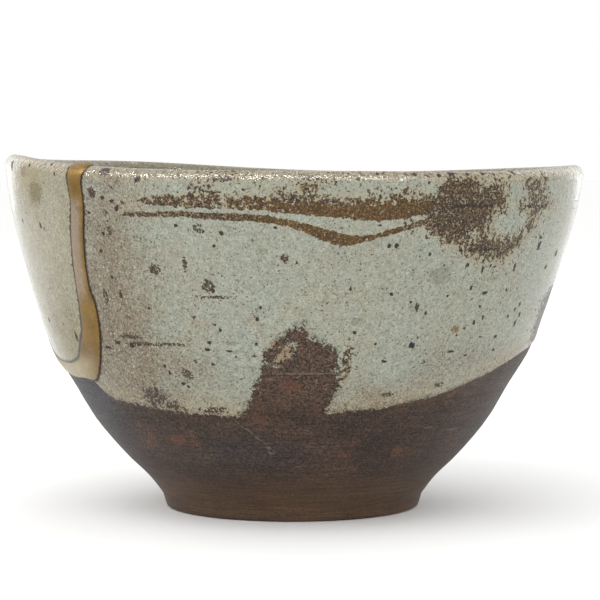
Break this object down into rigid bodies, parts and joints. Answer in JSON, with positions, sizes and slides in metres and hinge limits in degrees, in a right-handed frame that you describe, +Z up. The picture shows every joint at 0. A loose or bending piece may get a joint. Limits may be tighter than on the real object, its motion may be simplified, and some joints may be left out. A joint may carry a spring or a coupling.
{
  "type": "tea bowl",
  "caption": "Hand-thrown footed stoneware tea bowl, open and hollow, with a broken-out rim sherd set back in a wide raised seam of gold lacquer.",
  "frame": {"origin": "on the surface it stands on, under the middle of the bowl, which is the foot ring's centre", "axes": "+Z up the bowl, -Y to the side that shows the gold seam left of centre, +X to that side's right"},
  "size_m": [0.136, 0.136, 0.0829],
  "materials": {
    "glazed_stoneware": "speckled grey-green feldspar glaze with iron brown marks, over dark brown clay left bare round the foot",
    "sherd_glaze": "smoother cream-grey glaze, yellower at the lip",
    "gold_lacquer": "old gold powder on polished lacquer, worn towards brown"
  },
  "bodies": {
    "root": {"bowl_body": "glazed_stoneware", "rim_sherd": "sherd_glaze", "gold_seam": "gold_lacquer"}
  },
  "joints": []
}
